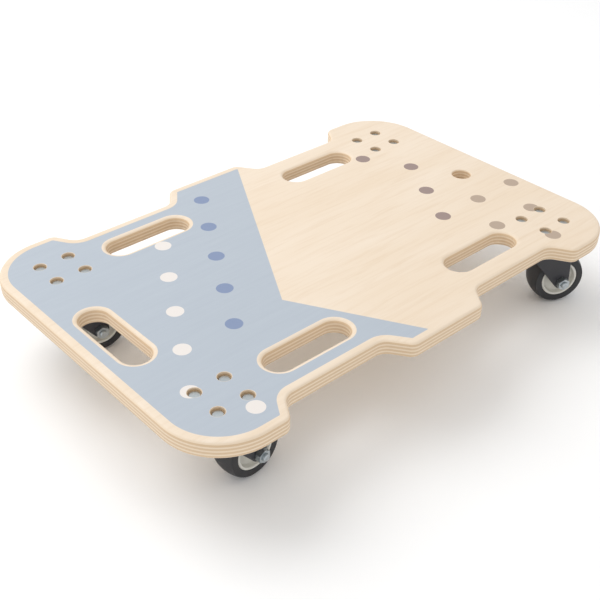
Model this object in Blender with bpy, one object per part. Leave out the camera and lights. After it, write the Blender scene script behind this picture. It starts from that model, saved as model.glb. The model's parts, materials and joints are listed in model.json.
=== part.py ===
"""Wooden scooter board on four swivel casters.

Metres, +Z up. The origin is on the floor below the middle of the deck, and X runs along the board's length.
Each caster is built round its own king pin, with its wheel trailing towards +X and its axle nut at -Y,
and is then turned about the king pin.
"""

from math import atan2, cos, hypot, pi, radians, sin, sqrt, tan

import bmesh
import bpy
from mathutils import Matrix

# Deck outline: square ends with round corners, and two hand-grip waists in each long side.
DECK_LENGTH = 0.600
DECK_WIDTH = 0.400
DECK_THICKNESS = 0.018
CORNER_RADIUS = 0.065
WAIST_DEPTH = 0.026
PAD_SHOULDER_X = 0.209
WAIST_OUTER_X = 0.193
WAIST_INNER_X = 0.069
MIDDLE_SHOULDER_X = 0.050
SHOULDER_RADIUS = 0.011
WAIST_RADIUS = 0.016
EDGE_RADIUS = 0.0035

# Hand slots and the rope hole, measured inside their walls.
SLOT_LENGTH = 0.103
SLOT_WIDTH = 0.031
SLOT_X = 0.128
SLOT_Y = 0.132
SLOT_EDGE_RADIUS = 0.005
END_SLOT_X = -0.259
ROPE_HOLE_X = 0.250
ROPE_HOLE_RADIUS = 0.0115

# Casters: where they stand, and how far each is turned, in degrees.
CASTER_X = 0.235
CASTER_Y = 0.135
CASTERS = {
    "near_left": (-1, -1, 3.6),
    "near_right": (1, -1, -27.5),
    "far_left": (-1, 1, -14.0),
    "far_right": (1, 1, -6.0),
}

# Clearances
GAP = 0.0003
RUNNING_GAP = 0.0008

# Wheel
WHEEL_RADIUS = 0.0325
TYRE_WIDTH = 0.028
TREAD_CROWN = 0.0028
HUB_RADIUS = 0.0221
HUB_RIM = 0.0030
HUB_RECESS = 0.0060
HUB_BOSS_RADIUS = 0.0090
SLEEVE_RADIUS = 0.0060
SLEEVE_WALL = 0.0017

# Fork
TRAIL = 0.0277
FORK_SIDE_CLEARANCE = 0.0030
FORK_CHEEK = 0.0030
CROWN_THICKNESS = 0.0030
CROWN_OVERHANG = 0.0005
CHEEK_BACK = 0.0190
CHEEK_FRONT = 0.0350
AXLE_BOSS_RADIUS = 0.0095

# Swivel
RACE_HEIGHT = 0.0060
RACE_RADIUS = 0.0172
RACE_LIP = 0.0020
KING_PIN_RADIUS = 0.0050
KING_PIN_HEAD_RADIUS = 0.0090
KING_PIN_HEAD = 0.0028
PLATE_SIDE = 0.0500
PLATE_THICKNESS = 0.0025
PLATE_CORNER = 0.0060
CROWN_ABOVE_WHEEL = 0.0146

# Fasteners
AXLE_RADIUS = 0.0040
AXLE_HEX = 0.0130
AXLE_HEAD = 0.0053
AXLE_NUT = 0.0065
AXLE_END = 0.0035
SCREW_SPACING = 0.0340
SCREW_RADIUS = 0.0030
SCREW_HEAD_RADIUS = 0.0058
SCREW_HEAD = 0.0026
SCREW_SINK = 0.0034
SCREW_NUT_HEX = 0.0100
SCREW_NUT = 0.0045
COUNTERBORE_RADIUS = 0.0069

# Facets
CORNER_STEPS = 9
SHOULDER_STEPS = 3
SLOT_STEPS = 8
EDGE_STEPS = 2
WHEEL_SIDES = 24
TREAD_STEPS = 4
PIN_SIDES = 12

# Heights that follow from the stack of pieces, from the floor up.
CROWN_LOW = 2 * WHEEL_RADIUS + CROWN_ABOVE_WHEEL
CROWN_TOP = CROWN_LOW + CROWN_THICKNESS
RACE_LOW = CROWN_TOP + GAP
RACE_TOP = RACE_LOW + RACE_HEIGHT
PLATE_LOW = RACE_TOP + GAP
PLATE_TOP = PLATE_LOW + PLATE_THICKNESS
DECK_LOW = PLATE_TOP + GAP
DECK_TOP = DECK_LOW + DECK_THICKNESS
CHEEK_INNER = TYRE_WIDTH / 2 + FORK_SIDE_CLEARANCE
CHEEK_OUTER = CHEEK_INNER + FORK_CHEEK
HEAD_LOW = DECK_TOP - SCREW_SINK - SCREW_HEAD


def clear_scene():
    for item in list(bpy.data.objects):
        bpy.data.objects.remove(item, do_unlink=True)


def material(name, colour, roughness, metallic=0.0):
    made = bpy.data.materials.new(name)
    made.use_nodes = True
    shader = made.node_tree.nodes["Principled BSDF"]
    shader.inputs["Base Color"].default_value = (*colour, 1.0)
    shader.inputs["Roughness"].default_value = roughness
    shader.inputs["Metallic"].default_value = metallic
    return made


def circle(x, y, radius, sides=PIN_SIDES):
    """A round loop as a function of how far it is set out from its wall."""

    def points(out=0.0):
        turns = (2 * pi * step / sides for step in range(sides))
        return [(x + (radius + out) * cos(turn), y + (radius + out) * sin(turn)) for turn in turns]

    return points


def slot(x, y, length, width, along_y=False):
    """A loop with straight sides and round ends, as a function of how far it is set out."""
    half = (length - width) / 2

    def points(out=0.0):
        found = []
        for end in (1, -1):
            for step in range(SLOT_STEPS + 1):
                turn = -pi / 2 + pi * step / SLOT_STEPS + (0 if end > 0 else pi)
                u = end * half + (width / 2 + out) * cos(turn)
                v = (width / 2 + out) * sin(turn)
                found.append((x - v, y + u) if along_y else (x + u, y + v))
        return found

    return points


def rounded(corners):
    """A loop through corners given as (x, y, radius, steps), anticlockwise, set in by each call's distance."""
    arcs = []
    for index, (x, y, radius, steps) in enumerate(corners):
        before = corners[index - 1]
        after = corners[(index + 1) % len(corners)]
        into = atan2(y - before[1], x - before[0])
        away = atan2(after[1] - y, after[0] - x)
        bend = (away - into + pi) % (2 * pi) - pi
        side = 1 if bend > 0 else -1
        back = radius * tan(abs(bend) / 2)
        centre_x = x - back * cos(into) - side * radius * sin(into)
        centre_y = y - back * sin(into) + side * radius * cos(into)
        arcs.append((centre_x, centre_y, radius, side, into - side * pi / 2, bend, steps))

    def points(inset=0.0):
        found = []
        for centre_x, centre_y, radius, side, start, bend, steps in arcs:
            reach = radius - side * inset
            for step in range(steps + 1):
                turn = start + bend * step / steps
                found.append((centre_x + reach * cos(turn), centre_y + reach * sin(turn)))
        return found

    return points


def wall(loop, levels):
    """The loop's rings at each (offset, height), from the bottom up."""
    return [[(x, y, height) for x, y in loop(offset)] for offset, height in levels]


def round_levels(low, high, radius, steps=EDGE_STEPS):
    """Offsets and heights of a wall whose bottom and top edges are rounded by radius."""
    found = []
    for step in range(steps + 1):
        turn = pi / 2 * step / steps
        found.append((radius * (1 - sin(turn)), low + radius * (1 - cos(turn))))
    return found + [(offset, low + high - height) for offset, height in reversed(found)]


def join_rings(body, low, high):
    count = len(low)
    for index in range(count):
        after = (index + 1) % count
        body.faces.new((low[index], low[after], high[after], high[index]))


def cap(body, rings):
    edges = []
    for ring in rings:
        for index, point in enumerate(ring):
            edges.append(body.edges.get((point, ring[(index + 1) % len(ring)])))
    bmesh.ops.triangle_fill(body, use_beauty=True, use_dissolve=False, edges=edges)


def finish(body, name):
    bmesh.ops.recalc_face_normals(body, faces=body.faces)
    mesh = bpy.data.meshes.new(name)
    body.to_mesh(mesh)
    body.free()
    mesh.shade_smooth()
    mesh.set_sharp_from_angle(angle=radians(40))
    return mesh


def walled(name, walls):
    """A solid between flat caps: the first wall is its outside, and the others are its holes."""
    body = bmesh.new()
    lows = []
    highs = []
    for rings in walls:
        made = [[body.verts.new(point) for point in ring] for ring in rings]
        for low, high in zip(made, made[1:]):
            join_rings(body, low, high)
        lows.append(made[0])
        highs.append(made[-1])
    cap(body, lows)
    cap(body, highs)
    return finish(body, name)


def turned(name, profile, sides, closed=True, hexed=()):
    """A profile of (radius, height) turned about Z. The points listed in hexed have their ring made six-sided."""
    body = bmesh.new()
    rings = []
    for index, (radius, height) in enumerate(profile):
        if radius == 0:
            rings.append([body.verts.new((0, 0, height))])
            continue
        ring = []
        for step in range(sides):
            turn = 2 * pi * step / sides
            reach = radius
            if index in hexed:
                reach = radius / cos((turn + pi / 6) % (pi / 3) - pi / 6)
            ring.append(body.verts.new((reach * cos(turn), reach * sin(turn), height)))
        rings.append(ring)
    pairs = list(zip(rings, rings[1:]))
    if closed:
        pairs.append((rings[-1], rings[0]))
    for low, high in pairs:
        if len(low) == 1 or len(high) == 1:
            pole, ring = (low[0], high) if len(low) == 1 else (high[0], low)
            for index in range(sides):
                body.faces.new((pole, ring[index], ring[(index + 1) % sides]))
        else:
            join_rings(body, low, high)
    return finish(body, name)


def place(name, mesh, finish_of, matrix=None):
    made = bpy.data.objects.new(name, mesh)
    bpy.context.scene.collection.objects.link(made)
    if not mesh.materials:
        mesh.materials.append(finish_of)
    if matrix is not None:
        made.matrix_world = matrix
    return made


def deck_outline():
    """Corners of the whole outline, anticlockwise from the near right end."""
    half_length = DECK_LENGTH / 2
    half_width = DECK_WIDTH / 2
    waist = half_width - WAIST_DEPTH
    side = [
        (half_length, half_width, CORNER_RADIUS, CORNER_STEPS),
        (PAD_SHOULDER_X, half_width, SHOULDER_RADIUS, SHOULDER_STEPS),
        (WAIST_OUTER_X, waist, WAIST_RADIUS, SHOULDER_STEPS),
        (WAIST_INNER_X, waist, WAIST_RADIUS, SHOULDER_STEPS),
        (MIDDLE_SHOULDER_X, half_width, SHOULDER_RADIUS, SHOULDER_STEPS),
    ]
    far = side + [(-x, y, radius, steps) for x, y, radius, steps in reversed(side)]
    near = [(-x, -y, radius, steps) for x, y, radius, steps in far]
    return rounded(far + near)


def screw_places():
    half = SCREW_SPACING / 2
    return [(x, y) for x in (-half, half) for y in (-half, half)]


def caster_places():
    return {name: (x * CASTER_X, y * CASTER_Y, turn) for name, (x, y, turn) in CASTERS.items()}


def deck_mesh():
    outer = round_levels(DECK_LOW, DECK_TOP, EDGE_RADIUS)
    inner = round_levels(DECK_LOW, DECK_TOP, SLOT_EDGE_RADIUS)
    walls = [wall(deck_outline(), outer)]
    for x in (-SLOT_X, SLOT_X):
        for y in (-SLOT_Y, SLOT_Y):
            walls.append(wall(slot(x, y, SLOT_LENGTH, SLOT_WIDTH), inner))
    walls.append(wall(slot(END_SLOT_X, 0, SLOT_LENGTH, SLOT_WIDTH, along_y=True), inner))
    rope = round_levels(DECK_LOW, DECK_TOP, EDGE_RADIUS / 2, 1)
    walls.append(wall(circle(ROPE_HOLE_X, 0, ROPE_HOLE_RADIUS, 2 * PIN_SIDES), rope))
    step = COUNTERBORE_RADIUS - SCREW_RADIUS - GAP
    shoulder = HEAD_LOW - GAP
    bored = [(0, DECK_LOW), (0, shoulder), (step, shoulder), (step, DECK_TOP)]
    for centre_x, centre_y, _ in caster_places().values():
        for x, y in screw_places():
            hole = circle(centre_x + x, centre_y + y, SCREW_RADIUS + GAP)
            walls.append(wall(hole, bored))
    return walled("deck", walls)


def screw_mesh():
    nut_top = PLATE_LOW - GAP
    nut_low = nut_top - SCREW_NUT
    profile = [
        (0, HEAD_LOW + SCREW_HEAD),
        (SCREW_HEAD_RADIUS - SCREW_HEAD / 4, HEAD_LOW + SCREW_HEAD),
        (SCREW_HEAD_RADIUS, HEAD_LOW + SCREW_HEAD / 2),
        (SCREW_HEAD_RADIUS, HEAD_LOW),
        (SCREW_RADIUS, HEAD_LOW),
        (SCREW_RADIUS, nut_top),
        (SCREW_NUT_HEX / 2, nut_top),
        (SCREW_NUT_HEX / 2, nut_low),
        (0, nut_low),
    ]
    return turned("deck_screw", profile, PIN_SIDES, closed=False, hexed=(6, 7))


def plate_mesh():
    half = PLATE_SIDE / 2
    corners = [(half, -half), (half, half), (-half, half), (-half, -half)]
    outline = rounded([(x, y, PLATE_CORNER, 3) for x, y in corners])
    flat = [(0, PLATE_LOW), (0, PLATE_TOP)]
    walls = [wall(outline, flat), wall(circle(0, 0, KING_PIN_RADIUS + GAP), flat)]
    for x, y in screw_places():
        walls.append(wall(circle(x, y, SCREW_RADIUS + GAP), flat))
    return walled("plate", walls)


def race_mesh():
    bore = KING_PIN_RADIUS + GAP
    profile = [
        (bore, RACE_TOP),
        (bore, RACE_LOW + RACE_LIP / 2),
        (bore + RACE_LIP, RACE_LOW),
        (RACE_RADIUS - RACE_LIP, RACE_LOW),
        (RACE_RADIUS, RACE_LOW + RACE_LIP),
        (RACE_RADIUS, RACE_TOP - RACE_LIP / 2),
        (RACE_RADIUS - RACE_LIP / 2, RACE_TOP),
    ]
    return turned("race", profile, 2 * PIN_SIDES)


def king_pin_mesh():
    head_top = CROWN_LOW - GAP
    head_low = head_top - KING_PIN_HEAD
    profile = [
        (0, PLATE_TOP),
        (KING_PIN_RADIUS, PLATE_TOP),
        (KING_PIN_RADIUS, head_top),
        (KING_PIN_HEAD_RADIUS, head_top),
        (KING_PIN_HEAD_RADIUS - KING_PIN_HEAD / 2, head_low),
        (0, head_low),
    ]
    return turned("king_pin", profile, PIN_SIDES, closed=False)


def crown_mesh():
    """The fork's flat top: round at the back about the king pin, square at the front."""
    half = CHEEK_OUTER + CROWN_OVERHANG
    front = CHEEK_FRONT + CROWN_OVERHANG
    corners = [
        (front, -half, AXLE_BOSS_RADIUS / 2, 3),
        (front, half, AXLE_BOSS_RADIUS / 2, 3),
        (-half, half, half - GAP, 6),
        (-half, -half, half - GAP, 6),
    ]
    levels = [(0, CROWN_LOW), (0, CROWN_TOP - CROWN_OVERHANG), (CROWN_OVERHANG, CROWN_TOP)]
    bore = circle(0, 0, KING_PIN_RADIUS + RUNNING_GAP)
    flat = [(0, CROWN_LOW), (0, CROWN_TOP)]
    return walled("crown", [wall(rounded(corners), levels), wall(bore, flat)])


def tangent_point(x, y, side):
    """Where a line from (x, y) touches the axle boss, in the cheek's own plane."""
    away_x = x - TRAIL
    away_y = y - WHEEL_RADIUS
    distance = hypot(away_x, away_y)
    turn = atan2(away_y, away_x) + side * pi / 2 - side * atan2(
        AXLE_BOSS_RADIUS, sqrt(distance**2 - AXLE_BOSS_RADIUS**2)
    )
    return turn


def cheek_mesh():
    """A fork side: wide under the crown and tapering to a round boss at the axle, pressed out down its flank."""
    top = CROWN_TOP - CROWN_THICKNESS / 2
    shoulder = top - CROWN_THICKNESS * 2
    back = tangent_point(-CHEEK_BACK, shoulder, 1)
    front = tangent_point(CHEEK_FRONT, shoulder, -1) + 2 * pi
    outline = [(CHEEK_FRONT, shoulder), (CHEEK_FRONT, top), (-CHEEK_BACK, top), (-CHEEK_BACK, shoulder)]
    for step in range(9):
        turn = back + (front - back) * step / 8
        reach = AXLE_BOSS_RADIUS
        outline.append((TRAIL + reach * cos(turn), WHEEL_RADIUS + reach * sin(turn)))
    chamfer = FORK_CHEEK / 4

    def points(inset=0.0):
        centre_x = sum(x for x, _ in outline) / len(outline)
        centre_y = sum(y for _, y in outline) / len(outline)
        share = 1 - inset / AXLE_BOSS_RADIUS
        return [(centre_x + (x - centre_x) * share, centre_y + (y - centre_y) * share) for x, y in outline]

    levels = [(0, CHEEK_INNER), (0, CHEEK_OUTER - chamfer), (chamfer, CHEEK_OUTER)]
    bore = circle(TRAIL, WHEEL_RADIUS, AXLE_RADIUS + GAP)
    flat = [(0, CHEEK_INNER), (0, CHEEK_OUTER)]
    return walled("cheek", [wall(points, levels), wall(bore, flat)])


def fork_mesh():
    """The crown and both cheeks, joined into one pressing."""
    crown = place("fork_build", crown_mesh(), None)
    crown.data.materials.clear()
    cheek = cheek_mesh()
    helpers = [crown]
    stand = Matrix.Rotation(pi / 2, 4, "X")
    for side in (1, -1):
        mesh = cheek.copy()
        mesh.transform(stand)
        if side < 0:
            mesh.transform(Matrix.Scale(-1, 4, (0, 1, 0)))
            mesh.flip_normals()
        helper = place("cheek_build", mesh, None)
        helpers.append(helper)
        join = crown.modifiers.new("join", "BOOLEAN")
        join.operation = "UNION"
        join.object = helper
    bpy.context.view_layer.update()
    graph = bpy.context.evaluated_depsgraph_get()
    mesh = bpy.data.meshes.new_from_object(crown.evaluated_get(graph))
    for helper in helpers:
        bpy.data.objects.remove(helper, do_unlink=True)
    mesh.name = "fork"
    mesh.materials.clear()
    mesh.set_sharp_from_angle(angle=radians(40))
    return mesh


def tyre_mesh():
    bore = HUB_RADIUS + GAP
    half = TYRE_WIDTH / 2
    profile = [(bore, half), (bore, -half)]
    for step in range(TREAD_STEPS + 1):
        across = -1 + 2 * step / TREAD_STEPS
        profile.append((WHEEL_RADIUS - TREAD_CROWN * abs(across) ** 2.2, across * half))
    return turned("tyre", profile, WHEEL_SIDES)


def hub_mesh():
    half = TYRE_WIDTH / 2
    bore = SLEEVE_RADIUS + RUNNING_GAP
    rim = HUB_RADIUS - HUB_RIM
    web = half - HUB_RECESS
    boss = CHEEK_INNER - RUNNING_GAP
    far = [(bore, boss), (HUB_BOSS_RADIUS, boss), (HUB_BOSS_RADIUS, web), (rim, web), (rim, half)]
    far.append((HUB_RADIUS, half))
    near = [(radius, -height) for radius, height in reversed(far)]
    return turned("hub", list(reversed(far + near)), WHEEL_SIDES)


def sleeve_mesh():
    half = CHEEK_INNER - GAP
    bore = SLEEVE_RADIUS - SLEEVE_WALL
    profile = [(SLEEVE_RADIUS, half), (SLEEVE_RADIUS, -half), (bore, -half), (bore, half)]
    return turned("axle_sleeve", profile, PIN_SIDES)


def bolt_mesh():
    """The axle bolt, with its head at -Z and its threaded end at +Z."""
    head_top = -CHEEK_OUTER - GAP
    head_low = head_top - AXLE_HEAD
    end = CHEEK_OUTER + GAP + AXLE_NUT + AXLE_END
    tip = AXLE_RADIUS * 3 / 4
    profile = [
        (0, head_low),
        (AXLE_HEX / 2, head_low),
        (AXLE_HEX / 2, head_top),
        (AXLE_RADIUS, head_top),
        (AXLE_RADIUS, end - AXLE_RADIUS / 4),
        (tip, end),
        (0, end),
    ]
    return turned("axle_bolt", profile, PIN_SIDES, closed=False, hexed=(1, 2))


def nut_mesh():
    low = CHEEK_OUTER + GAP
    high = low + AXLE_NUT
    bore = AXLE_RADIUS + GAP
    profile = [(bore, low), (AXLE_HEX / 2, low), (AXLE_HEX / 2, high), (bore, high)]
    return turned("axle_nut", profile, PIN_SIDES, hexed=(1, 2))


def build():
    clear_scene()
    wood = material("plywood", (0.80, 0.67, 0.50), 0.55)
    zinc = material("zinc", (0.62, 0.64, 0.66), 0.35, 1.0)
    black = material("black_fork", (0.02, 0.02, 0.022), 0.4)
    rubber = material("black_tyre", (0.02, 0.02, 0.022), 0.5)
    white = material("hub_plastic", (0.66, 0.65, 0.61), 0.45)
    place("deck", deck_mesh(), wood)
    screw = screw_mesh()
    fixed = {"mounting_plate": (plate_mesh(), zinc), "swivel_race": (race_mesh(), zinc)}
    fixed["king_pin"] = (king_pin_mesh(), zinc)
    fork = fork_mesh()
    on_axle = {
        "tyre": (tyre_mesh(), rubber),
        "hub": (hub_mesh(), white),
        "axle_sleeve": (sleeve_mesh(), zinc),
        "axle_bolt": (bolt_mesh(), zinc),
        "axle_nut": (nut_mesh(), zinc),
    }
    axle = Matrix.Translation((TRAIL, 0, WHEEL_RADIUS)) @ Matrix.Rotation(pi / 2, 4, "X")
    for corner, (x, y, turn) in caster_places().items():
        stand = Matrix.Translation((x, y, 0))
        swivel = stand @ Matrix.Rotation(radians(turn), 4, "Z")
        for number, (screw_x, screw_y) in enumerate(screw_places(), 1):
            spot = stand @ Matrix.Translation((screw_x, screw_y, 0))
            place(f"deck_screw_{corner}_{number}", screw, zinc, spot)
        for name, (mesh, finish_of) in fixed.items():
            place(f"{name}_{corner}", mesh, finish_of, stand)
        place(f"fork_{corner}", fork, black, swivel)
        for name, (mesh, finish_of) in on_axle.items():
            place(f"{name}_{corner}", mesh, finish_of, swivel @ axle)


build()
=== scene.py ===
# %% [markdown]
# # A plywood scooter board
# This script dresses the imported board: a part-painted plywood deck, zinc screws, black forks, rubber tyres and
# light hubs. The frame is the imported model, in metres, with the floor at zero height and X along the board.

import json
from math import atan2, cos, pi, radians, sin, tan

import bmesh
import bpy
from mathutils import Matrix, Vector


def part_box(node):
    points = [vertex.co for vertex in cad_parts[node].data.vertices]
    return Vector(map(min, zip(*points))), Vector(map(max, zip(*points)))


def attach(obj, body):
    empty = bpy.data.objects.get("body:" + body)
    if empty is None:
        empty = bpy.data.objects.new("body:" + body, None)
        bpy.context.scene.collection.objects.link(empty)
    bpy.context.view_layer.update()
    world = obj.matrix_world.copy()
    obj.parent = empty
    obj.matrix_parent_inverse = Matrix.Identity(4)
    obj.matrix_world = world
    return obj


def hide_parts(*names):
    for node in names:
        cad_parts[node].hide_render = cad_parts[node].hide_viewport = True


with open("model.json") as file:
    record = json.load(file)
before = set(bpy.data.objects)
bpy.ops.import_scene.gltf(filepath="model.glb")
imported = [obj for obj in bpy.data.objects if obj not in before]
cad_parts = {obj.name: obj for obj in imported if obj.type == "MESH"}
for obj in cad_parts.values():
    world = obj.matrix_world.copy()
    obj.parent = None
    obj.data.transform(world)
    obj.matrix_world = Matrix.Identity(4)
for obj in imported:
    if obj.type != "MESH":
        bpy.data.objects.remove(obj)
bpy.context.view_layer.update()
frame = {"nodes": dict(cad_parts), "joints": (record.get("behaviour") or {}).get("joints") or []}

# %% [markdown]
# ## Sizes
# The deck's height comes from the frame. The outline repeats the model's driving sizes, so that the finer deck
# lies where the plain one does.

# %% Sizes
DECK_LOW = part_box("deck")[0][2]
DECK_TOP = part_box("deck")[1][2]
HALF_LENGTH = 0.300
HALF_WIDTH = 0.200
CORNER_RADIUS = 0.065
WAIST_DEPTH = 0.026
SHOULDERS = (0.209, 0.193, 0.069, 0.050)
SHOULDER_RADIUS = 0.011
WAIST_RADIUS = 0.016
EDGE_RADIUS = 0.0035
PAINT_INSET = 0.0092
SLOT_LENGTH = 0.103
SLOT_WIDTH = 0.031
SLOT_EDGE_RADIUS = 0.005
SLOT_PLACES = [(x, y, False) for x in (-0.128, 0.128) for y in (-0.132, 0.132)] + [(-0.259, 0, True)]
ROPE_HOLE_X = 0.250
ROPE_HOLE_RADIUS = 0.0115
SCREW_RADIUS = 0.0033
COUNTERBORE_RADIUS = 0.0069
COUNTERBORE_DEPTH = 0.0063
PLIES = 9

# Painted pattern: a blue block that ends in a V, and rows of dots on a triangular lattice.
V_TIP = (-0.098, -0.0605)
DOT_RADIUS = 0.0091
DOT_STEP = 0.06265
ROW_STEP = DOT_STEP * 3**0.5 / 2


def srgb(red, green, blue):
    """A colour as it is seen, 0 to 255, turned into the linear values that shaders take."""
    found = []
    for part in (red, green, blue):
        level = part / 255
        found.append(level / 12.92 if level <= 0.04045 else ((level + 0.055) / 1.055) ** 2.4)
    return (*found, 1.0)


# %% [markdown]
# ## Shader sums
# A `Value` wraps a node's output, so that masks read as plain arithmetic.

# %% Shader sums


class Value:
    """One number in a node tree, which takes part in sums."""

    def __init__(self, tree, socket):
        self.tree = tree
        self.socket = socket

    def sum(self, operation, *others):
        node = self.tree.nodes.new("ShaderNodeMath")
        node.operation = operation
        self.tree.links.new(self.socket, node.inputs[0])
        for place, other in enumerate(others, 1):
            if isinstance(other, Value):
                self.tree.links.new(other.socket, node.inputs[place])
            else:
                node.inputs[place].default_value = other
        return Value(self.tree, node.outputs[0])

    def __add__(self, other):
        return self.sum("ADD", other)

    __radd__ = __add__

    def __sub__(self, other):
        return self.sum("SUBTRACT", other)

    def __rsub__(self, other):
        return self.sum("MULTIPLY", -1.0) + other

    def __mul__(self, other):
        return self.sum("MULTIPLY", other)

    __rmul__ = __mul__

    def __truediv__(self, other):
        return self.sum("DIVIDE", other)

    def __lt__(self, other):
        return self.sum("LESS_THAN", other)

    def __gt__(self, other):
        return self.sum("GREATER_THAN", other)

    def size(self):
        return self.sum("ABSOLUTE")

    def power(self, other):
        return self.sum("POWER", other)

    def most(self, other):
        return self.sum("MAXIMUM", other)


class Finish:
    """A material under construction: its tree, its surface shader and its node maker."""

    def __init__(self, name, roughness=0.5, metallic=0.0):
        self.material = bpy.data.materials.new(name)
        self.material.use_nodes = True
        self.tree = self.material.node_tree
        self.shader = self.tree.nodes["Principled BSDF"]
        self.shader.inputs["Roughness"].default_value = roughness
        self.shader.inputs["Metallic"].default_value = metallic
        self.place = self.node("ShaderNodeNewGeometry").outputs["Position"]

    def node(self, kind, inputs=(), **settings):
        made = self.tree.nodes.new(kind)
        for name, value in settings.items():
            setattr(made, name, value)
        for name, value in dict(inputs).items():
            self.put(value, made.inputs[name])
        return made

    def put(self, value, socket):
        source = value.socket if isinstance(value, Value) else value
        if isinstance(source, bpy.types.NodeSocket):
            self.tree.links.new(source, socket)
        else:
            socket.default_value = source

    def value(self, socket):
        return Value(self.tree, socket)

    def axes(self, socket=None):
        parts = self.node("ShaderNodeSeparateXYZ", {"Vector": socket or self.place})
        return [self.value(parts.outputs[axis]) for axis in "XYZ"]

    def join(self, x, y, z):
        return self.node("ShaderNodeCombineXYZ", {"X": x, "Y": y, "Z": z}).outputs[0]

    def noise(self, where, scale, detail=3.0, roughness=0.5, distortion=0.0):
        inputs = {"Vector": where, "Scale": scale, "Detail": detail, "Roughness": roughness}
        inputs["Distortion"] = distortion
        return self.value(self.node("ShaderNodeTexNoise", inputs).outputs[0])

    def mix(self, first, second, factor):
        made = self.node("ShaderNodeMix", data_type="RGBA")
        self.put(factor, made.inputs[0])
        self.put(first, made.inputs[6])
        self.put(second, made.inputs[7])
        return made.outputs[2]

    def colour(self, value):
        self.put(value, self.shader.inputs["Base Color"])

    def rough(self, value):
        self.put(value, self.shader.inputs["Roughness"])

    def bump(self, height, distance, strength=1.0):
        inputs = {"Height": height, "Distance": distance, "Strength": strength}
        made = self.node("ShaderNodeBump", inputs)
        self.put(made.outputs[0], self.shader.inputs["Normal"])


# %% [markdown]
# ## Plywood and paint
# The face veneer's grain runs along the board. On the edges the plies show as stripes by height. The paint lies
# where the mesh's `bare` value is low, left of the V, and the dots lie over both wood and paint.

# %% Plywood and paint


def dot_groups():
    """Each dot's colour and centres. The lattice steps along X and along a slanted row."""
    half = DOT_STEP / 2
    dark_blue = [(-0.1290 + row * half, -0.0062 + row * ROW_STEP) for row in range(-2, 4)]
    white = [(x - DOT_STEP, y) for x, y in dark_blue[:-1]] + [(-0.2230, -0.1690)]
    dark_brown = [(0.1539 + row * half, -0.0544 + row * ROW_STEP) for row in range(3)]
    dark_brown.append((dark_brown[2][0] - half, dark_brown[2][1] + ROW_STEP))
    light_brown = [(dark_brown[0][0] + step * DOT_STEP, dark_brown[0][1]) for step in (1, 2)]
    light_brown += [(x - half, y - ROW_STEP) for x, y in light_brown]
    light_brown.append((light_brown[0][0], light_brown[0][1] - 2 * ROW_STEP))
    return [
        (srgb(126, 142, 175), dark_blue[1:]),
        (srgb(233, 226, 220), white),
        (srgb(149, 129, 124), dark_brown),
        (srgb(178, 158, 140), light_brown),
    ]


def plywood():
    finish = Finish("plywood", roughness=0.52)
    x, y, z = finish.axes()
    facing = finish.axes(finish.node("ShaderNodeNewGeometry").outputs["Normal"])[2].size()
    flat = facing > 0.80
    along = finish.join(x * 1.6, y * 24.0, z * 24.0)
    figure = finish.noise(finish.join(x * 1.0, y * 5.0, z), 3.2, 2.0, 0.5, 0.8)
    grain = finish.noise(along, 9.0, 6.0, 0.62, 0.4)
    fibre = finish.noise(finish.join(x * 6.0, y * 190.0, z * 190.0), 6.0, 2.0)
    pale = finish.mix(srgb(240, 226, 209), srgb(229, 208, 181), figure)
    face = finish.mix(pale, srgb(220, 196, 166), (grain - 0.47).most(0.0) * 1.6)
    level = (z - DECK_LOW) / (DECK_TOP - DECK_LOW) * PLIES
    ply = level.sum("FRACT")
    cross = (level.sum("FLOOR") / 2.0).sum("FRACT") > 0.25
    glue = ((ply - 0.5).size() - 0.42).most(0.0) * 8.0
    side_grain = finish.noise(finish.join(x * 40.0, y * 40.0, z * 500.0), 6.0, 3.0)
    layer = finish.mix(srgb(236, 216, 190), srgb(218, 190, 155), cross)
    layer = finish.mix(layer, srgb(196, 160, 120), glue * 0.7)
    layer = finish.mix(layer, srgb(206, 176, 140), (side_grain - 0.5).most(0.0) * 0.9)
    wood = finish.mix(layer, face, flat)
    bare = finish.value(finish.node("ShaderNodeAttribute", attribute_name="bare").outputs["Fac"])
    left = x < (y - V_TIP[1]).size() / tan(radians(60)) + V_TIP[0]
    up = finish.axes(finish.node("ShaderNodeNewGeometry").outputs["Normal"])[2] > 0.9
    painted = left * (bare < 0.02) * up * (z > DECK_TOP - 0.0002)
    paint = finish.mix(srgb(181, 191, 201), srgb(171, 181, 193), grain)
    colour = finish.mix(wood, paint, painted * 0.97)
    shown = up * (bare < 0.5) * (z > DECK_TOP - 0.0002)
    for tone, centres in dot_groups():
        for centre_x, centre_y in centres:
            away = (x - centre_x).power(2.0) + (y - centre_y).power(2.0)
            colour = finish.mix(colour, tone, (away < DOT_RADIUS**2) * shown * 0.96)
    finish.colour(colour)
    finish.rough(0.47 + fibre * 0.12 - painted * 0.06)
    finish.bump(fibre + grain * 0.7, 0.00012, 0.35)
    return finish.material


# %% [markdown]
# ## Metal, rubber and plastic

# %% Metal, rubber and plastic


def zinc():
    finish = Finish("zinc", roughness=0.32, metallic=1.0)
    mottle = finish.noise(finish.place, 420.0, 4.0)
    fine = finish.noise(finish.place, 2600.0, 2.0)
    finish.colour(finish.mix(srgb(205, 211, 214), srgb(168, 178, 184), mottle))
    finish.rough(0.24 + mottle * 0.22)
    finish.bump(fine, 0.00003, 0.4)
    return finish.material


def fork_black():
    finish = Finish("fork_black", roughness=0.42)
    grain = finish.noise(finish.place, 1500.0, 3.0)
    wear = finish.noise(finish.place, 90.0, 3.0)
    finish.colour(finish.mix(srgb(38, 38, 42), srgb(54, 54, 59), wear))
    finish.rough(0.34 + wear * 0.18)
    finish.bump(grain, 0.00005, 0.5)
    return finish.material


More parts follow.
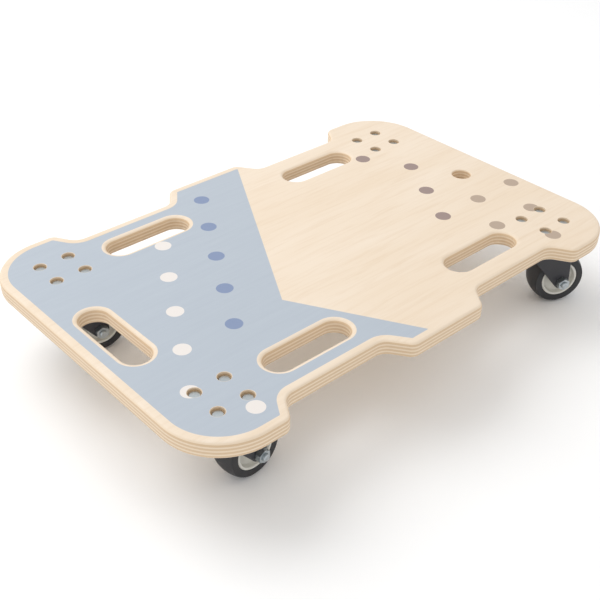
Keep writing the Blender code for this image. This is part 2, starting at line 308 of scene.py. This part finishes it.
def tyre_rubber():
    finish = Finish("tyre_rubber", roughness=0.5)
    grain = finish.noise(finish.place, 1100.0, 4.0)
    cloud = finish.noise(finish.place, 70.0, 3.0)
    finish.colour(finish.mix(srgb(34, 34, 36), srgb(50, 50, 53), cloud))
    finish.rough(0.42 + cloud * 0.2)
    finish.bump(grain, 0.00004, 0.4)
    return finish.material


def hub_plastic():
    finish = Finish("hub_plastic", roughness=0.42)
    cloud = finish.noise(finish.place, 120.0, 3.0)
    grain = finish.noise(finish.place, 1800.0, 2.0)
    finish.colour(finish.mix(srgb(226, 224, 216), srgb(207, 205, 197), cloud))
    finish.rough(0.36 + cloud * 0.14)
    finish.bump(grain, 0.00003, 0.3)
    return finish.material


def floor_white():
    finish = Finish("floor_white", roughness=0.9)
    cloud = finish.noise(finish.place, 3.0, 2.0)
    finish.colour(finish.mix((1.0, 1.0, 1.0, 1.0), (0.99, 0.99, 0.99, 1.0), cloud))
    return finish.material


WOOD = plywood()
ZINC = zinc()
FORK = fork_black()
RUBBER = tyre_rubber()
PLASTIC = hub_plastic()

# %% [markdown]
# ## Loops and walls
# The deck is a set of walls between two flat caps: its outside, and one wall for each hole.

# %% Loops and walls


def circle(x, y, radius, sides=48):
    def points(out=0.0):
        turns = (2 * pi * step / sides for step in range(sides))
        return [(x + (radius + out) * cos(turn), y + (radius + out) * sin(turn)) for turn in turns]

    return points


def slot(x, y, along_y, steps=24):
    half = (SLOT_LENGTH - SLOT_WIDTH) / 2

    def points(out=0.0):
        found = []
        for end in (1, -1):
            for step in range(steps + 1):
                turn = -pi / 2 + pi * step / steps + (0 if end > 0 else pi)
                u = end * half + (SLOT_WIDTH / 2 + out) * cos(turn)
                v = (SLOT_WIDTH / 2 + out) * sin(turn)
                found.append((x - v, y + u) if along_y else (x + u, y + v))
        return found

    return points


def rounded(corners):
    """A loop through corners given as (x, y, radius, steps), anticlockwise, set in by each call's distance."""
    arcs = []
    for index, (x, y, radius, steps) in enumerate(corners):
        before = corners[index - 1]
        after = corners[(index + 1) % len(corners)]
        into = atan2(y - before[1], x - before[0])
        away = atan2(after[1] - y, after[0] - x)
        bend = (away - into + pi) % (2 * pi) - pi
        side = 1 if bend > 0 else -1
        back = radius * tan(abs(bend) / 2)
        centre_x = x - back * cos(into) - side * radius * sin(into)
        centre_y = y - back * sin(into) + side * radius * cos(into)
        arcs.append((centre_x, centre_y, radius, side, into - side * pi / 2, bend, steps))

    def points(inset=0.0):
        found = []
        for centre_x, centre_y, radius, side, start, bend, steps in arcs:
            reach = radius - side * inset
            for step in range(steps + 1):
                turn = start + bend * step / steps
                found.append((centre_x + reach * cos(turn), centre_y + reach * sin(turn)))
        return found

    return points


def deck_outline():
    waist = HALF_WIDTH - WAIST_DEPTH
    heights = (HALF_WIDTH, waist, waist, HALF_WIDTH)
    radii = (SHOULDER_RADIUS, WAIST_RADIUS, WAIST_RADIUS, SHOULDER_RADIUS)
    side = [(HALF_LENGTH, HALF_WIDTH, CORNER_RADIUS, 40)]
    side += [(x, y, radius, 12) for x, y, radius in zip(SHOULDERS, heights, radii)]
    far = side + [(-x, y, radius, steps) for x, y, radius, steps in reversed(side)]
    return rounded(far + [(-x, -y, radius, steps) for x, y, radius, steps in far])


def round_levels(radius, steps=6):
    """Offsets, heights and bareness of a wall whose bottom and top edges are rounded."""
    found = []
    for step in range(steps + 1):
        turn = pi / 2 * step / steps
        found.append((radius * (1 - sin(turn)), DECK_LOW + radius * (1 - cos(turn)), 1.0))
    return found + [(offset, DECK_LOW + DECK_TOP - height, 1.0) for offset, height, _ in reversed(found)]


def join_rings(body, low, high):
    for index in range(len(low)):
        after = (index + 1) % len(low)
        body.faces.new((low[index], low[after], high[after], high[index]))


def cap(body, rings):
    edges = []
    for ring in rings:
        for index, point in enumerate(ring):
            edges.append(body.edges.get((point, ring[(index + 1) % len(ring)])))
    bmesh.ops.triangle_fill(body, use_beauty=True, use_dissolve=False, edges=edges)


def show(name, body, finish, smooth_under=35):
    """Turns a bmesh into an object with smooth faces and sharp corners."""
    bmesh.ops.recalc_face_normals(body, faces=body.faces)
    mesh = bpy.data.meshes.new(name)
    body.to_mesh(mesh)
    body.free()
    mesh.shade_smooth()
    mesh.set_sharp_from_angle(angle=radians(smooth_under))
    mesh.materials.append(finish)
    made = bpy.data.objects.new(name, mesh)
    bpy.context.scene.collection.objects.link(made)
    return made


# %% [markdown]
# ## Deck

# %% Deck


def deck_walls():
    outer = round_levels(EDGE_RADIUS) + [(PAINT_INSET, DECK_TOP, 0.0)]
    inner = round_levels(SLOT_EDGE_RADIUS) + [(SLOT_EDGE_RADIUS + 0.0004, DECK_TOP, 0.0)]
    walls = [(deck_outline(), outer)]
    for x, y, along_y in SLOT_PLACES:
        walls.append((slot(x, y, along_y), inner))
    rope = round_levels(EDGE_RADIUS / 2, 3) + [(EDGE_RADIUS / 2 + 0.0004, DECK_TOP, 0.0)]
    walls.append((circle(ROPE_HOLE_X, 0, ROPE_HOLE_RADIUS), rope))
    step = COUNTERBORE_RADIUS - SCREW_RADIUS
    shoulder = DECK_TOP - COUNTERBORE_DEPTH
    bored = [(0, DECK_LOW, 1.0), (0, shoulder, 1.0), (step, shoulder, 1.0), (step, DECK_TOP - 0.0003, 1.0)]
    bored += [(step + 0.0003, DECK_TOP, 1.0), (step + 0.0005, DECK_TOP, 0.0)]
    for node in frame["nodes"]:
        if node.startswith("deck_screw_"):
            low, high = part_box(node)
            middle = (Vector(low) + Vector(high)) / 2
            walls.append((circle(middle.x, middle.y, SCREW_RADIUS, 32), bored))
    return walls


def deck():
    body = bmesh.new()
    bare = body.verts.layers.float.new("bare")
    lows = []
    highs = []
    for loop, levels in deck_walls():
        rings = []
        for offset, height, bareness in levels:
            ring = [body.verts.new((x, y, height)) for x, y in loop(offset)]
            for point in ring:
                point[bare] = bareness
            rings.append(ring)
        for low, high in zip(rings, rings[1:]):
            join_rings(body, low, high)
        lows.append(rings[0])
        highs.append(rings[-1])
    cap(body, lows)
    cap(body, highs)
    made = show("plywood_deck", body, WOOD)
    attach(made, "board")
    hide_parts("deck")


deck()

# %% [markdown]
# ## Turned pieces
# Tyres and hubs are turned profiles, set where the frame's joints are.

# %% Turned pieces


def turned(name, profile, finish, matrix, sides=96, closed=True):
    body = bmesh.new()
    rings = []
    for radius, height in profile:
        if radius == 0:
            rings.append([body.verts.new((0, 0, height))])
            continue
        turns = [2 * pi * step / sides for step in range(sides)]
        rings.append([body.verts.new((radius * cos(turn), radius * sin(turn), height)) for turn in turns])
    pairs = list(zip(rings, rings[1:]))
    if closed:
        pairs.append((rings[-1], rings[0]))
    for low, high in pairs:
        if len(low) == 1 or len(high) == 1:
            pole, ring = (low[0], high) if len(low) == 1 else (high[0], low)
            for index in range(sides):
                body.faces.new((pole, ring[index], ring[(index + 1) % sides]))
        else:
            join_rings(body, low, high)
    body.transform(matrix)
    return show(name, body, finish)


WHEEL_RADIUS = 0.0325
TYRE_HALF = 0.014
TREAD_CROWN = 0.0028
HUB_RADIUS = 0.0221
HUB_RIM = 0.0030
HUB_RECESS = 0.0060
HUB_BOSS = 0.0090
HUB_BORE = 0.0068
BOSS_HALF = 0.0162


def tyre_profile():
    bore = HUB_RADIUS + 0.0003
    profile = [(bore, TYRE_HALF), (bore, -TYRE_HALF)]
    for step in range(25):
        across = -1 + 2 * step / 24
        drop = TREAD_CROWN * abs(across) ** 2.2
        profile.append((WHEEL_RADIUS - drop, across * TYRE_HALF))
    return profile


def hub_profile():
    rim = HUB_RADIUS - HUB_RIM
    web = TYRE_HALF - HUB_RECESS
    soft = 0.0006
    far = [(HUB_BORE, BOSS_HALF), (HUB_BOSS, BOSS_HALF), (HUB_BOSS, web + soft), (HUB_BOSS + soft, web)]
    far += [(rim - 2 * soft, web), (rim - soft, web + soft), (rim, TYRE_HALF - soft)]
    far += [(rim + soft, TYRE_HALF), (HUB_RADIUS - soft, TYRE_HALF), (HUB_RADIUS, TYRE_HALF - soft)]
    return list(reversed(far + [(radius, -height) for radius, height in reversed(far)]))


def wheels():
    for joint in frame["joints"]:
        if not joint["name"].startswith("roll_"):
            continue
        corner = joint["name"].removeprefix("roll_")
        axis = Vector(joint["axis"])
        matrix = Matrix.Translation(joint["pos_m"]) @ axis.to_track_quat("Z", "Y").to_matrix().to_4x4()
        tyre = turned(f"round_tyre_{corner}", tyre_profile(), RUBBER, matrix)
        hub = turned(f"round_hub_{corner}", hub_profile(), PLASTIC, matrix)
        for piece, node, slot_name in ((tyre, "tyre", "tyre"), (hub, "hub", "hub")):
            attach(piece, f"wheel_{corner}")
            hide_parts(f"{node}_{corner}")


wheels()

# %% [markdown]
# ## Carried-over pieces
# The forks, plates, pins and fasteners keep their modelled shapes and take their finishes here.

# %% Carried-over pieces


def dress(node, finish):
    mesh = frame["nodes"][node].data
    mesh.materials.clear()
    mesh.materials.append(finish)


for node in frame["nodes"]:
    dress(node, FORK if node.startswith("fork_") else ZINC)
for node in frame["nodes"]:
    if node.startswith("tyre_"):
        dress(node, RUBBER)
    elif node.startswith("hub_"):
        dress(node, PLASTIC)
dress("deck", WOOD)

# %% [markdown]
# ## Stage, light and camera
# A plain white floor, even light from the sky, one soft key light, and the camera where the photograph was taken.

# %% Stage, light and camera


def floor():
    body = bmesh.new()
    bmesh.ops.create_grid(body, x_segments=1, y_segments=1, size=12)
    made = show("floor", body, floor_white())


def sky():
    world = bpy.data.worlds.new("sky")
    bpy.context.scene.world = world
    world.use_nodes = True
    back = world.node_tree.nodes["Background"]
    back.inputs["Color"].default_value = (1.0, 1.0, 1.0, 1.0)
    path = world.node_tree.nodes.new("ShaderNodeLightPath")
    seen = world.node_tree.nodes.new("ShaderNodeMix")
    seen.inputs[2].default_value = 0.80
    seen.inputs[3].default_value = 1.0
    world.node_tree.links.new(path.outputs["Is Camera Ray"], seen.inputs[0])
    world.node_tree.links.new(seen.outputs[0], back.inputs["Strength"])


def key_light():
    light = bpy.data.lights.new("key", "AREA")
    light.energy = 26
    light.size = 1.8
    made = bpy.data.objects.new("key", light)
    made.location = (-0.6, 1.2, 2.0)
    made.rotation_euler = (Vector((0, 0, 0.1)) - made.location).to_track_quat("-Z", "Y").to_euler()
    bpy.context.scene.collection.objects.link(made)


def camera():
    data = bpy.data.cameras.new("camera")
    data.sensor_width = 36
    data.lens = CAMERA_LENS
    data.clip_end = 50
    made = bpy.data.objects.new("camera", data)
    made.location = CAMERA_PLACE
    made.rotation_euler = [radians(turn) for turn in CAMERA_TURN]
    bpy.context.scene.collection.objects.link(made)
    bpy.context.scene.camera = made


CAMERA_PLACE = (-0.6399, -0.6802, 0.6849)
CAMERA_TURN = (55.066, -0.758, -41.892)
CAMERA_LENS = 59.52

floor()
sky()
key_light()
camera()
bpy.context.scene.view_settings.view_transform = "Standard"
